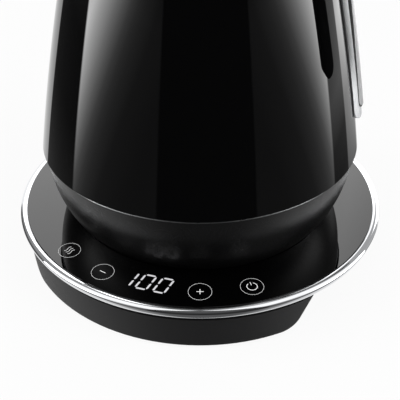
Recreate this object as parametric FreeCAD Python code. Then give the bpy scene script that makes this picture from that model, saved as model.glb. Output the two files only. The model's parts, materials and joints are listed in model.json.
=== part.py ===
import FreeCAD, Part
import math
import os
from FreeCAD import Vector

# Gooseneck kettle that stands on a round touch base, in millimetres.
# +Z is up, z = 0 is the table, the handle points along +X, the spout along -X, and the front faces -Y.

# Clearances
FIT = 0.1            # between pieces that are fixed together
RUN = 0.3            # between pieces that move apart
SCREW_RADIUS = 1.5
SCREW_HEAD_RADIUS = 2.8
SCREW_HEAD_HEIGHT = 1.6
SCREW_PILOT_DEPTH = 6.0

# Base: housing, cover and feet
BASE_TURN = -6.4     # degrees that the base is turned under the kettle
BASE_HEIGHT = 23.5   # top of the touch plate above the table
FOOT_DROP = 1.4
FOOT_RADIUS = 6.0
FOOT_RECESS = 0.8
FOOT_INSET = 14.0    # foot centres inside the drum wall
FOOT_ANGLES = (40, 140, 220, 320)
PLATE_RADIUS = 86.5
PLATE_THICK = 2.5
RING_WIDTH = 3.3
RING_HEIGHT = 4.8
RING_LIP = 0.8
RING_PROUD = 0.3
ROOF_THICK = 2.5
LEDGE_THICK = 2.0
HOUSING_WALL = 2.2
DRUM_INSET = 12.5    # drum wall inside the plate's edge
CHIN_PROUD = 1.2     # front chin outside the plate's edge
CHIN_TOP_ANGLE = 50.0
CHIN_BOTTOM_ANGLE = 44.0
CHIN_CORNER = 8.0
CHIN_EDGE = 1.2
COVER_THICK = 2.0
COVER_SCREW_INSET = 14.0
COVER_SCREW_ANGLES = (0, 100, 260)
BOSS_RADIUS = 4.0

# Base: controls, angles from the front and radius from the plate's edge
CONTROL_INSET = 9.0
CONTROL_STEP = 16.4
PAD_RADIUS = 4.6
DISPLAY_WIDTH = 24.0
DISPLAY_DEPTH = 13.0
DISPLAY_GAP = 0.4
BOARD_THICK = 1.6
BOARD_DROP = 4.5     # board under the roof
BOARD_HALF_WIDTH = 8.0
BOARD_ANGLE = 44.0
BOARD_POST_ANGLE = 41.0
BOARD_POST_RADIUS = 3.0

# Base: power board and cord inlet
POWER_LENGTH = 66.0
POWER_DEPTH = 28.0
POWER_INSET = 32.0   # board centre inside the drum wall
POWER_POST = 3.6
RELAY_LENGTH = 26.0
RELAY_DEPTH = 12.0
RELAY_HEIGHT = 7.5
CAPACITOR_RADIUS = 3.0
CAPACITOR_HEIGHT = 7.0
CAPACITOR_GAP = 1.0
GLAND_BORE = 3.6
GLAND_WALL = 1.8
GLAND_FLANGE = 1.8
GLAND_LIP = 1.2

# Cordless connector, on the axis
CONNECTOR_FOOT_RADIUS = 26.0
CONNECTOR_FOOT_THICK = 3.0
CONNECTOR_RADIUS = 22.0
PILLAR_RADIUS = 17.5
PILLAR_HEIGHT = 10.0
PILLAR_EDGE = 1.0
GROOVE_DEPTH = 8.5
GROOVE_WIDTH = 2.6
GROOVE_INNER = 7.0   # inner wall of the first ring groove
GROOVE_PITCH = 5.0
PIN_BORE = 3.2
CONTACT_WALL = 0.6
SWIVEL_HEIGHT = 2.2
SWIVEL_WIDTH = 3.4

# Kettle: plinth and trim
SEAT_GAP = 0.4
PLINTH_FOOT_RADIUS = 64.5
PLINTH_RADIUS = 73.2
PLINTH_HEIGHT = 32.0
PLINTH_CURVE_HEIGHT = 19.6
PLINTH_WALL = 2.5
PLINTH_REBATE = 3.5
PLINTH_LEDGE_WIDTH = 10.0
PLINTH_LEDGE_THICK = 2.5
PLINTH_COVER_THICK = 2.0
PLINTH_SCREW_ANGLES = (30, 150, 270)
TRIM_THICK = 0.5
TRIM_PROUD = 0.3
TRIM_SPIGOT_WALL = 1.6
TRIM_SPIGOT_UP = 5.0
TRIM_SPIGOT_DOWN = 5.0
GASKET_THICK = 0.9
GASKET_WIDTH = 1.6

# Kettle: body, a cone with a slight belly
BODY_FOOT_RADIUS = 74.4
BODY_TOP_RADIUS = 45.4
BODY_HEIGHT = 118.0
BODY_BELLY = 1.8
BODY_WALL = 1.2
COLLAR_PROUD = 0.8
COLLAR_HEIGHT = 3.0
COLLAR_DEPTH = 6.0
COLLAR_WALL = 1.6

# Kettle: heater and control
HEATER_RISE = 6.2    # heater plate above the body's foot
HEATER_THICK = 1.2
HEATER_RIM = 6.0
SEAL_WIDTH = 3.4
SPREADER_RADIUS = 52.0
SPREADER_THICK = 3.0
ELEMENT_CIRCLE = 43.0
ELEMENT_RADIUS = 3.6
ELEMENT_SWEEP = 300.0
SOCKET_WALL = 5.5
SOCKET_FLANGE = 4.5
SOCKET_FLANGE_THICK = 2.0
SOCKET_ROOF = 3.0
CONTROL_RADIUS = 21.0
PROBE_RADIUS = 2.4
PROBE_CIRCLE = 30.0
PROBE_RISE = 10.0
PROBE_SEAL_WALL = 1.8
PROBE_SEAL_LIP = 1.6

# Kettle: spout
SPOUT_ROOT_RISE = 82.0       # root centre above the body's foot
SPOUT_ROOT_SLOPE = 18.0      # degrees above level
SPOUT_NECK_SLOPE = 62.0
SPOUT_ROOT_RUN = 34.0        # root bend outside the body wall
SPOUT_NECK_RUN = 56.0
SPOUT_TIP_RUN = 34.0
SPOUT_ROOT_BEND = 40.0
SPOUT_TIP_BEND = 30.0
SPOUT_ROOT_RADIUS = 13.5
SPOUT_TIP_RADIUS = 6.0
SPOUT_WALL = 1.1
SPOUT_COLLAR_WALL = 2.2
SPOUT_COLLAR_LENGTH = 5.0
STRAINER_MARGIN = 3.0
STRAINER_THICK = 0.8
STRAINER_HOLE = 1.1
STRAINER_PITCH = 4.4

# Kettle: water gauge down the spine
SPINE_HALF_WIDTH = 9.25
SPINE_PROUD = 3.1
SPINE_LOW = 16.0             # lower end above the body's foot
SPINE_GAP = 6.0              # upper end under the handle's mount
SPINE_CORNER = 4.0
WINDOW_HALF_WIDTH = 5.2
WINDOW_MARGIN = 5.0
WINDOW_EDGE = 2.3            # rim of the window above the body
WINDOW_PROUD = 4.0
WINDOW_SEAL = 1.6
SLOT_HALF_WIDTH = 3.0
SLOT_MARGIN = 6.0

# Kettle: handle, a bar that hangs from an arm
HANDLE_WIDTH = 25.0
HANDLE_THICK = 14.5
HANDLE_EDGE = 5.5
HANDLE_ARM_CLIMB = 8.0       # from the arm's root to the bend
HANDLE_TOP_REACH = 103.0
HANDLE_END_REACH = 117.0
HANDLE_END_RISE = 34.5       # lower end above the body's foot
HANDLE_BEND = 24.0
HANDLE_END_CORNER = 11.0
CORE_WIDTH = 12.0
CORE_THICK = 3.0
CORE_SHORT = 22.0
MOUNT_PROUD = 4.0
MOUNT_HALF_WIDTH = 14.0
MOUNT_HALF_HEIGHT = 12.0
MOUNT_CORNER = 6.0
MOUNT_DROP = 1.0             # mount's upper edge under the body's top
HANDLE_SCREW_LOW = 26.0      # up from the handle's lower end
HANDLE_SCREW_DROP = 27.7     # down from the corner over the bend

# Lid
LID_PLUG_CLEAR = 1.0
LID_PLUG_DEPTH = 6.0
LID_WALL = 0.8
LID_COVER_INSET = 0.8
LID_COVER_WALL = 2.4
LID_DOME_RISE = 8.0
LID_EDGE_HEIGHT = 2.4
LID_SEAL_THICK = 2.0
KNOB_STEM_RADIUS = 6.0
KNOB_RADIUS = 13.0
KNOB_STEM_HEIGHT = 5.0
KNOB_HEIGHT = 9.0
KNOB_CROWN = 2.0

# Heights that follow from the sizes above
HOUSING_BOTTOM = FOOT_DROP
PLATE_BOTTOM = BASE_HEIGHT - PLATE_THICK
ROOF_BOTTOM = PLATE_BOTTOM - ROOF_THICK
RING_BOTTOM = BASE_HEIGHT + RING_PROUD - RING_HEIGHT
LEDGE_BOTTOM = RING_BOTTOM - LEDGE_THICK
COVER_TOP = HOUSING_BOTTOM + COVER_THICK
BOARD_TOP = ROOF_BOTTOM - BOARD_DROP
PILLAR_TOP = BASE_HEIGHT + PILLAR_HEIGHT
SWIVEL_TOP = BASE_HEIGHT + RUN + SWIVEL_HEIGHT
PLINTH_BOTTOM = BASE_HEIGHT + SEAT_GAP
PLINTH_TOP = PLINTH_BOTTOM + PLINTH_HEIGHT
PLINTH_COVER_TOP = PLINTH_BOTTOM + FIT + PLINTH_COVER_THICK
TRIM_TOP = PLINTH_TOP + TRIM_THICK
BODY_FOOT = TRIM_TOP + GASKET_THICK
BODY_TOP = BODY_FOOT + BODY_HEIGHT
COLLAR_TOP = BODY_TOP + COLLAR_HEIGHT
HEATER_BOTTOM = BODY_FOOT + HEATER_RISE
SPREADER_BOTTOM = HEATER_BOTTOM - SPREADER_THICK
SOCKET_BOTTOM = max(SWIVEL_TOP + RUN, PLINTH_COVER_TOP)
SOCKET_TOP = PILLAR_TOP + RUN + SOCKET_ROOF
ARM_HEIGHT = BODY_TOP - MOUNT_DROP - MOUNT_HALF_HEIGHT
SPINE_BOTTOM = BODY_FOOT + SPINE_LOW
SPINE_TOP = ARM_HEIGHT - MOUNT_HALF_HEIGHT - SPINE_GAP
WINDOW_BOTTOM = SPINE_BOTTOM + WINDOW_MARGIN
WINDOW_TOP = SPINE_TOP - WINDOW_MARGIN
SLOT_BOTTOM = WINDOW_BOTTOM + SLOT_MARGIN
SLOT_TOP = WINDOW_TOP - SLOT_MARGIN

# Radii that follow from the sizes above
RING_INNER = PLATE_RADIUS + FIT
RING_OUTER = RING_INNER + RING_WIDTH
DRUM_RADIUS = PLATE_RADIUS - DRUM_INSET
CHIN_RADIUS = PLATE_RADIUS + CHIN_PROUD
CONTROL_CIRCLE = PLATE_RADIUS - CONTROL_INSET
FOOT_CIRCLE = DRUM_RADIUS - FOOT_INSET
COVER_SCREW_CIRCLE = DRUM_RADIUS - COVER_SCREW_INSET
POWER_CENTRE = DRUM_RADIUS - POWER_INSET
GROOVE_RADII = (GROOVE_INNER, GROOVE_INNER + GROOVE_PITCH)
PLINTH_OPENING = PLINTH_FOOT_RADIUS - PLINTH_REBATE
PLINTH_SCREW_CIRCLE = PLINTH_OPENING - PLINTH_LEDGE_WIDTH / 2
COLLAR_INNER = BODY_TOP_RADIUS - BODY_WALL - FIT - COLLAR_WALL
LID_PLUG_RADIUS = COLLAR_INNER - LID_PLUG_CLEAR
UP = Vector(0, 0, 1)
ORIGIN = Vector(0, 0, 0)


# Plain shapes

def disc(radius, low, high, centre=(0, 0)):
    return Part.makeCylinder(radius, high - low, Vector(centre[0], centre[1], low))


def ring(inner, outer, low, high):
    return disc(outer, low, high).cut(disc(inner, low, high))


def polar(radius, angle):
    """Plan position at an angle in degrees from the front, counted towards +X."""
    turn = math.radians(angle)
    return (radius * math.sin(turn), -radius * math.cos(turn))


def line(start, end):
    return Part.LineSegment(Vector(start[0], 0, start[1]), Vector(end[0], 0, end[1])).toShape()


def arc(start, middle, end):
    points = [Vector(x, 0, z) for x, z in (start, middle, end)]
    return Part.Arc(*points).toShape()


def revolve(edges):
    """Solid of revolution about Z from a closed outline in the XZ plane."""
    face = Part.Face(Part.Wire(Part.__sortEdges__(edges)))
    return face.revolve(ORIGIN, UP, 360)


def dome(radius, low, rise):
    """Edge of a shallow dome, from its rim to its crown on the axis."""
    sphere = (radius ** 2 + rise ** 2) / (2 * rise)
    middle = radius / 2
    height = low + rise - sphere + math.sqrt(sphere ** 2 - middle ** 2)
    return arc((radius, low), (middle, height), (0, low + rise))


def polygon_edges(points):
    return [line(a, b) for a, b in zip(points, points[1:] + points[:1])]


def rounded_prism(half_width, low, high, corner, start, end):
    """Prism along X with a rounded rectangle across it."""
    box = Part.makeBox(end - start, 2 * half_width, high - low, Vector(start, -half_width, low))
    along = [edge for edge in box.Edges if abs(edge.tangentAt(edge.FirstParameter).x) > 0.9]
    return box.makeFillet(corner, along)


def turned(shape):
    """Base pieces are modelled with their controls at the front, then turned under the kettle."""
    copy = shape.copy()
    copy.rotate(ORIGIN, UP, BASE_TURN)
    return copy


def group(solids):
    return Part.makeCompound(solids)


def screw(x, y, seat, length):
    """Pan-head screw that points up, with its head under the seat."""
    shank = disc(SCREW_RADIUS, seat, seat + length, (x, y))
    head = disc(SCREW_HEAD_RADIUS, seat - SCREW_HEAD_HEIGHT, seat, (x, y))
    return shank.fuse(head)


def flush_screw(x, y, seat, length):
    """Screw whose low head stays inside the cover."""
    head = disc(SCREW_HEAD_RADIUS, seat - SCREW_HEAD_HEIGHT / 2, seat, (x, y))
    return disc(SCREW_RADIUS, seat, seat + length, (x, y)).fuse(head)


# Body form

def body_radius(z):
    share = (z - BODY_FOOT) / BODY_HEIGHT
    straight = BODY_FOOT_RADIUS + share * (BODY_TOP_RADIUS - BODY_FOOT_RADIUS)
    return straight + 4 * BODY_BELLY * share * (1 - share)


def body_curve(offset, low, high):
    """Parabola of the body's side between two heights, moved out by an offset."""
    share = (low - BODY_FOOT) / BODY_HEIGHT
    rise = (BODY_TOP_RADIUS - BODY_FOOT_RADIUS) + 4 * BODY_BELLY * (1 - 2 * share)
    slope = rise / BODY_HEIGHT
    middle = body_radius(low) + slope * (high - low) / 2
    curve = Part.BezierCurve()
    curve.setPoles([
        Vector(body_radius(low) + offset, 0, low),
        Vector(middle + offset, 0, (low + high) / 2),
        Vector(body_radius(high) + offset, 0, high),
    ])
    return curve.toShape()


def body_solid(offset, low, high):
    bottom = (body_radius(low) + offset, low)
    top = (body_radius(high) + offset, high)
    return revolve([
        body_curve(offset, low, high),
        line(top, (0, high)),
        line((0, high), (0, low)),
        line((0, low), bottom),
    ])


def body_skin(inner, outer, low, high):
    """Wall of revolution between two offsets from the body's side."""
    return body_solid(outer, low, high).cut(body_solid(inner, low, high))


def body_pad(inner, outer, half_width, low, high, corner):
    """Patch on the +X side that follows the body's side."""
    reach = BODY_FOOT_RADIUS + outer
    prism = rounded_prism(half_width, low, high, corner, 0, reach)
    return body_skin(inner, outer, low, high).common(prism)


# Base

def chin_prism(inset, low, high, corner):
    """Front wedge whose sides lean in towards the bottom, before it is cut round."""
    foot = CHIN_RADIUS * math.sin(math.radians(CHIN_BOTTOM_ANGLE))
    head = CHIN_RADIUS * math.sin(math.radians(CHIN_TOP_ANGLE))
    lean = (head - foot) / (LEDGE_BOTTOM - HOUSING_BOTTOM)
    bottom = foot + lean * (low - HOUSING_BOTTOM) - inset
    top = foot + lean * (high - HOUSING_BOTTOM) - inset
    outline = polygon_edges([(-bottom, low), (bottom, low), (top, high), (-top, high)])
    face = Part.Face(Part.Wire(outline))
    prism = face.extrude(Vector(0, -CHIN_RADIUS, 0))
    lower = [e for e in prism.Edges if e.BoundBox.ZMax < low + FIT and e.BoundBox.YLength > CHIN_RADIUS / 2]
    return prism.makeFillet(corner, lower)


def base_outside(inset, low, high, corner):
    """Drum and chin together, drawn in by an inset."""
    chin = chin_prism(inset, low, high, corner).common(disc(CHIN_RADIUS - inset, low, high))
    return disc(DRUM_RADIUS - inset, low, high).fuse(chin).removeSplitter()


def control_positions():
    """Four touch pads, two on each side of the display."""
    return [polar(CONTROL_CIRCLE, step * CONTROL_STEP) for step in (-2, -1, 1, 2)]


def board_posts():
    return [polar(CONTROL_CIRCLE, angle) for angle in (-BOARD_POST_ANGLE, BOARD_POST_ANGLE)]


def display_block(margin, low, high):
    width = DISPLAY_WIDTH + 2 * margin
    depth = DISPLAY_DEPTH + 2 * margin
    return Part.makeBox(width, depth, high - low, Vector(-width / 2, -CONTROL_CIRCLE - depth / 2, low))


def cover_screw_places():
    return [polar(COVER_SCREW_CIRCLE, angle) for angle in COVER_SCREW_ANGLES]


def gland_height():
    return (COVER_TOP + LEDGE_BOTTOM) / 2


def along_y(radius, start, end):
    return Part.makeCylinder(radius, end - start, Vector(0, start, gland_height()), Vector(0, 1, 0))


def base_housing():
    walls = base_outside(0, HOUSING_BOTTOM, LEDGE_BOTTOM, CHIN_CORNER)
    low_edges = [e for e in walls.Edges if e.BoundBox.ZMax < HOUSING_BOTTOM + FIT]
    walls = walls.makeFillet(CHIN_EDGE, low_edges)
    roof = disc(RING_INNER + FIT, LEDGE_BOTTOM, RING_BOTTOM)
    roof = roof.fuse(disc(RING_INNER - 2 * FIT, RING_BOTTOM, PLATE_BOTTOM))
    inside = base_outside(HOUSING_WALL, HOUSING_BOTTOM, ROOF_BOTTOM, CHIN_CORNER - HOUSING_WALL)
    housing = walls.fuse(roof).cut(inside)
    bosses = [disc(BOSS_RADIUS, COVER_TOP, ROOF_BOTTOM + FIT, place) for place in cover_screw_places()]
    posts = [disc(BOARD_POST_RADIUS, BOARD_TOP, ROOF_BOTTOM + FIT, place) for place in board_posts()]
    housing = housing.multiFuse(bosses + posts)
    pilot = SCREW_RADIUS + FIT
    holes = [disc(pilot, COVER_TOP, COVER_TOP + SCREW_PILOT_DEPTH + FIT, p) for p in cover_screw_places()]
    holes += [disc(pilot, BOARD_TOP, ROOF_BOTTOM, place) for place in board_posts()]
    holes += [disc(PAD_RADIUS + RUN, ROOF_BOTTOM, PLATE_BOTTOM, place) for place in control_positions()]
    holes.append(display_block(RUN, ROOF_BOTTOM, PLATE_BOTTOM))
    holes.append(disc(CONNECTOR_RADIUS + FIT, ROOF_BOTTOM, PLATE_BOTTOM))
    holes.append(along_y(GLAND_BORE + GLAND_WALL + FIT, DRUM_RADIUS - 2 * HOUSING_WALL, PLATE_RADIUS))
    return housing.cut(Part.makeCompound(holes)).removeSplitter()


def base_bottom_cover():
    inset = HOUSING_WALL + FIT
    cover = base_outside(inset, HOUSING_BOTTOM, ROOF_BOTTOM, CHIN_CORNER - inset)
    cover = cover.common(disc(CHIN_RADIUS, HOUSING_BOTTOM, COVER_TOP))
    posts = [disc(BOARD_POST_RADIUS, COVER_TOP, COVER_TOP + POWER_POST, place) for place in power_posts()]
    cover = cover.multiFuse(posts)
    feet = [disc(FOOT_RADIUS + FIT, HOUSING_BOTTOM, HOUSING_BOTTOM + FOOT_RECESS, polar(FOOT_CIRCLE, a))
            for a in FOOT_ANGLES]
    heads = [disc(SCREW_HEAD_RADIUS + FIT, HOUSING_BOTTOM, HOUSING_BOTTOM + SCREW_HEAD_HEIGHT / 2, place)
             for place in cover_screw_places()]
    shanks = [disc(SCREW_RADIUS + FIT, HOUSING_BOTTOM, COVER_TOP, place) for place in cover_screw_places()]
    return cover.cut(Part.makeCompound(feet + heads + shanks)).removeSplitter()


def base_feet():
    return group([disc(FOOT_RADIUS, 0, HOUSING_BOTTOM + FOOT_RECESS, polar(FOOT_CIRCLE, a)) for a in FOOT_ANGLES])


def base_cover_screws():
    seat = HOUSING_BOTTOM + SCREW_HEAD_HEIGHT / 2
    length = COVER_TOP - seat + SCREW_PILOT_DEPTH
    return group([flush_screw(x, y, seat, length) for x, y in cover_screw_places()])


def touch_plate():
    return disc(PLATE_RADIUS, PLATE_BOTTOM, BASE_HEIGHT).cut(
        disc(CONNECTOR_RADIUS + FIT, PLATE_BOTTOM, BASE_HEIGHT))


def chrome_ring():
    lip_edge = RING_INNER + RING_LIP
    lip_top = BASE_HEIGHT
    crest = BASE_HEIGHT + RING_PROUD
    widest = RING_BOTTOM + 0.62 * RING_HEIGHT
    foot = RING_INNER + RING_WIDTH / 2
    bead = RING_OUTER - lip_edge
    upper = (lip_edge + 0.72 * bead, widest + 0.72 * (crest - widest))
    lower = (RING_OUTER - 0.28 * (RING_OUTER - foot), RING_BOTTOM + 0.32 * (widest - RING_BOTTOM))
    return revolve([
        line((RING_INNER, RING_BOTTOM), (RING_INNER, lip_top)),
        line((RING_INNER, lip_top), (lip_edge, lip_top)),
        line((lip_edge, lip_top), (lip_edge, crest)),
        arc((lip_edge, crest), upper, (RING_OUTER, widest)),
        arc((RING_OUTER, widest), lower, (foot, RING_BOTTOM)),
        line((foot, RING_BOTTOM), (RING_INNER, RING_BOTTOM)),
    ])


def base_connector():
    foot = disc(CONNECTOR_FOOT_RADIUS, ROOF_BOTTOM - CONNECTOR_FOOT_THICK, ROOF_BOTTOM)
    shoulder = disc(CONNECTOR_RADIUS, ROOF_BOTTOM, BASE_HEIGHT)
    pillar = disc(PILLAR_RADIUS, BASE_HEIGHT, PILLAR_TOP)
    crown = [e for e in pillar.Edges if e.BoundBox.ZMin > PILLAR_TOP - FIT]
    pillar = pillar.makeFillet(PILLAR_EDGE, crown)
    groove_floor = PILLAR_TOP - GROOVE_DEPTH
    grooves = [ring(radius, radius + GROOVE_WIDTH, groove_floor, PILLAR_TOP) for radius in GROOVE_RADII]
    bore = disc(PIN_BORE, groove_floor, PILLAR_TOP)
    return foot.fuse(shoulder).fuse(pillar).cut(Part.makeCompound(grooves + [bore])).removeSplitter()


def connector_contacts():
    """Brass sleeves against the inner wall of each groove, and one lining the pin bore."""
    floor = PILLAR_TOP - GROOVE_DEPTH
    top = PILLAR_TOP - GROOVE_WIDTH
    sleeves = [ring(radius + FIT, radius + FIT + CONTACT_WALL, floor, top) for radius in GROOVE_RADII]
    sleeves.append(ring(PIN_BORE - FIT - CONTACT_WALL, PIN_BORE - FIT, floor, top))
    return group(sleeves)


def swivel_ring():
    inner = PILLAR_RADIUS + RUN
    return ring(inner, inner + SWIVEL_WIDTH, BASE_HEIGHT + RUN, SWIVEL_TOP)


def board_sector():
    band = ring(CONTROL_CIRCLE - BOARD_HALF_WIDTH, CONTROL_CIRCLE + BOARD_HALF_WIDTH - 2 * FIT,
                BOARD_TOP - BOARD_THICK, BOARD_TOP)
    reach = 2 * PLATE_RADIUS
    left = polar(reach, -BOARD_ANGLE)
    right = polar(reach, BOARD_ANGLE)
    corners = [Vector(0, 0, 0), Vector(left[0], left[1], 0), Vector(right[0], right[1], 0), Vector(0, 0, 0)]
    wedge = Part.Face(Part.makePolygon(corners)).extrude(Vector(0, 0, BASE_HEIGHT))
    return band.common(wedge)


def touch_board():
    holes = [disc(SCREW_RADIUS + FIT, BOARD_TOP - BOARD_THICK, BOARD_TOP, place) for place in board_posts()]
    return board_sector().cut(Part.makeCompound(holes))


def board_screws():
    seat = BOARD_TOP - BOARD_THICK
    length = BOARD_THICK + BOARD_DROP - FIT
    return group([screw(x, y, seat, length) for x, y in board_posts()])


def touch_pads():
    return group([disc(PAD_RADIUS, BOARD_TOP, PLATE_BOTTOM, place) for place in control_positions()])


def display_module():
    return display_block(0, BOARD_TOP, PLATE_BOTTOM - DISPLAY_GAP)


def power_posts():
    inset = 2 * BOARD_POST_RADIUS
    x = POWER_LENGTH / 2 - inset
    y = POWER_DEPTH / 2 - inset
    return [(sx * x, POWER_CENTRE + sy * y) for sx in (-1, 1) for sy in (-1, 1)]


def power_board():
    """Supply board with its relay and two capacitors."""
    low = COVER_TOP + POWER_POST
    top = low + BOARD_THICK
    corner = Vector(-POWER_LENGTH / 2, POWER_CENTRE - POWER_DEPTH / 2, low)
    board = Part.makeBox(POWER_LENGTH, POWER_DEPTH, BOARD_THICK, corner)
    relay_corner = Vector(-POWER_LENGTH / 4 - RELAY_LENGTH / 2, POWER_CENTRE - RELAY_DEPTH / 2, top)
    relay = Part.makeBox(RELAY_LENGTH, RELAY_DEPTH, RELAY_HEIGHT, relay_corner)
    spread = 2 * CAPACITOR_RADIUS + CAPACITOR_GAP
    first = POWER_LENGTH / 4
    tops = [disc(CAPACITOR_RADIUS, top, top + CAPACITOR_HEIGHT, (first + k * spread, POWER_CENTRE)) for k in (0, 1)]
    return board.multiFuse([relay] + tops)


def cord_inlet():
    """Rubber gland through the drum's rear wall."""
    outer = DRUM_RADIUS
    inner = DRUM_RADIUS - HOUSING_WALL
    neck = GLAND_BORE + GLAND_WALL
    wall = disc(outer + FIT, COVER_TOP, LEDGE_BOTTOM)
    cavity = disc(inner - FIT, COVER_TOP, LEDGE_BOTTOM)
    outside = along_y(neck + GLAND_LIP, inner, outer + GLAND_FLANGE).cut(wall)
    inside = along_y(neck + GLAND_LIP, inner - 2 * GLAND_FLANGE, outer).common(cavity)
    inside = inside.cut(along_y(neck + GLAND_LIP, 0, inner - 2 * GLAND_FLANGE))
    tube = along_y(neck, inner - 2 * GLAND_FLANGE, outer + GLAND_FLANGE)
    return tube.multiFuse([outside, inside]).cut(along_y(GLAND_BORE, 0, PLATE_RADIUS)).removeSplitter()


# Kettle foot

def plinth():
    """Skirt that draws in to its foot on an arc, with a ledge inside for the cover."""
    draw_in = PLINTH_RADIUS - PLINTH_FOOT_RADIUS
    sweep = (PLINTH_CURVE_HEIGHT ** 2 + draw_in ** 2) / (2 * draw_in)
    centre = (PLINTH_RADIUS - sweep, PLINTH_BOTTOM + PLINTH_CURVE_HEIGHT)
    ledge_low = PLINTH_COVER_TOP
    ledge_top = ledge_low + PLINTH_LEDGE_THICK
    inner_sweep = sweep - PLINTH_WALL

    def on_arc(radius, height):
        angle = math.asin((height - centre[1]) / radius)
        return (centre[0] + radius * math.cos(angle), height)

    outer_low = on_arc(sweep, PLINTH_BOTTOM)
    outer_middle = on_arc(sweep, PLINTH_BOTTOM + PLINTH_CURVE_HEIGHT / 3)
    outer_high = (PLINTH_RADIUS, centre[1])
    inner_high = (PLINTH_RADIUS - PLINTH_WALL, centre[1])
    inner_middle = on_arc(inner_sweep, (ledge_top + centre[1]) / 2)
    inner_low = on_arc(inner_sweep, ledge_top)
    ledge_inner = PLINTH_OPENING - PLINTH_LEDGE_WIDTH
    body = revolve([
        arc(outer_low, outer_middle, outer_high),
        line(outer_high, (PLINTH_RADIUS, PLINTH_TOP)),
        line((PLINTH_RADIUS, PLINTH_TOP), (PLINTH_RADIUS - PLINTH_WALL, PLINTH_TOP)),
        line((PLINTH_RADIUS - PLINTH_WALL, PLINTH_TOP), inner_high),
        arc(inner_high, inner_middle, inner_low),
        line(inner_low, (ledge_inner, ledge_top)),
        line((ledge_inner, ledge_top), (ledge_inner, ledge_low)),
        line((ledge_inner, ledge_low), (PLINTH_OPENING, ledge_low)),
        line((PLINTH_OPENING, ledge_low), (PLINTH_OPENING, PLINTH_BOTTOM)),
        line((PLINTH_OPENING, PLINTH_BOTTOM), outer_low),
    ])
    places = [polar(PLINTH_SCREW_CIRCLE, angle) for angle in PLINTH_SCREW_ANGLES]
    bosses = [disc(BOSS_RADIUS, ledge_low, ledge_low + SCREW_PILOT_DEPTH, place) for place in places]
    pilots = [disc(SCREW_RADIUS + FIT, ledge_low, ledge_low + SCREW_PILOT_DEPTH, place) for place in places]
    return body.multiFuse(bosses).cut(Part.makeCompound(pilots)).removeSplitter()


def plinth_cover():
    low = PLINTH_BOTTOM + FIT
    cover = ring(PILLAR_RADIUS + SOCKET_WALL + 2 * FIT, PLINTH_OPENING - FIT, low, PLINTH_COVER_TOP)
    places = [polar(PLINTH_SCREW_CIRCLE, angle) for angle in PLINTH_SCREW_ANGLES]
    shanks = [disc(SCREW_RADIUS + FIT, low, PLINTH_COVER_TOP, place) for place in places]
    heads = [disc(SCREW_HEAD_RADIUS + FIT, low, low + SCREW_HEAD_HEIGHT / 2, place) for place in places]
    return cover.cut(Part.makeCompound(shanks + heads))


def plinth_screws():
    seat = PLINTH_BOTTOM + FIT + SCREW_HEAD_HEIGHT / 2
    length = PLINTH_COVER_TOP - seat + SCREW_PILOT_DEPTH - FIT
    places = [polar(PLINTH_SCREW_CIRCLE, angle) for angle in PLINTH_SCREW_ANGLES]
    return group([flush_screw(x, y, seat, length) for x, y in places])


def trim_spigot_outer():
    return PLINTH_RADIUS - PLINTH_WALL - FIT


def trim_ring():
    outer = trim_spigot_outer()
    inner = outer - TRIM_SPIGOT_WALL
    flange = ring(inner, PLINTH_RADIUS + TRIM_PROUD, PLINTH_TOP, TRIM_TOP)
    spigot = ring(inner, outer, PLINTH_TOP - TRIM_SPIGOT_DOWN, TRIM_TOP + TRIM_SPIGOT_UP)
    return flange.fuse(spigot).removeSplitter()


def body_gasket():
    inner = trim_spigot_outer() + FIT
    return ring(inner, inner + GASKET_WIDTH, TRIM_TOP, BODY_FOOT)


# Kettle body

def spout_axis():
    turn = math.radians(SPOUT_ROOT_SLOPE)
    return Vector(-math.cos(turn), 0, math.sin(turn))


def spout_root():
    height = BODY_FOOT + SPOUT_ROOT_RISE
    return Vector(-body_radius(height), 0, height)


def along_spout(radius, back, ahead):
    start = spout_root() - spout_axis() * back
    return Part.makeCylinder(radius, back + ahead, start, spout_axis())


def body_shell():
    wall = body_skin(-BODY_WALL, 0, BODY_FOOT, BODY_TOP)
    lip_outer = body_radius(BODY_FOOT) - BODY_WALL / 2
    lip = ring(trim_spigot_outer() + FIT, lip_outer, BODY_FOOT, BODY_FOOT + BODY_WALL)
    spout_hole = along_spout(SPOUT_ROOT_RADIUS - SPOUT_WALL, BODY_TOP_RADIUS / 2, BODY_TOP_RADIUS)
    slot = rounded_prism(SLOT_HALF_WIDTH, SLOT_BOTTOM, SLOT_TOP, SLOT_HALF_WIDTH - FIT, 0, BODY_FOOT_RADIUS)
    return wall.fuse(lip).cut(spout_hole).cut(slot).removeSplitter()


def rim_collar():
    outer = BODY_TOP_RADIUS + COLLAR_PROUD
    spigot_outer = COLLAR_INNER + COLLAR_WALL
    flange = ring(COLLAR_INNER, outer, BODY_TOP, COLLAR_TOP)
    crown = [e for e in flange.Edges if e.BoundBox.ZMin > COLLAR_TOP - FIT and e.BoundBox.XMax > outer - FIT]
    flange = flange.makeFillet(COLLAR_HEIGHT / 3, crown)
    spigot = ring(COLLAR_INNER, spigot_outer, BODY_TOP - COLLAR_DEPTH, BODY_TOP)
    return flange.fuse(spigot).removeSplitter()


# Kettle heater and control

def heater_rim_radius():
    return body_radius(HEATER_BOTTOM + HEATER_RIM) - BODY_WALL - SEAL_WIDTH


def probe_place():
    return (0, PROBE_CIRCLE)


def heater_plate():
    rim = heater_rim_radius()
    plate = disc(rim, HEATER_BOTTOM, HEATER_BOTTOM + HEATER_THICK)
    upstand = ring(rim - HEATER_THICK, rim, HEATER_BOTTOM, HEATER_BOTTOM + HEATER_RIM)
    hole = disc(PROBE_RADIUS + PROBE_SEAL_WALL + FIT, HEATER_BOTTOM, HEATER_BOTTOM + HEATER_THICK, probe_place())
    return plate.fuse(upstand).cut(hole).removeSplitter()


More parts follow.
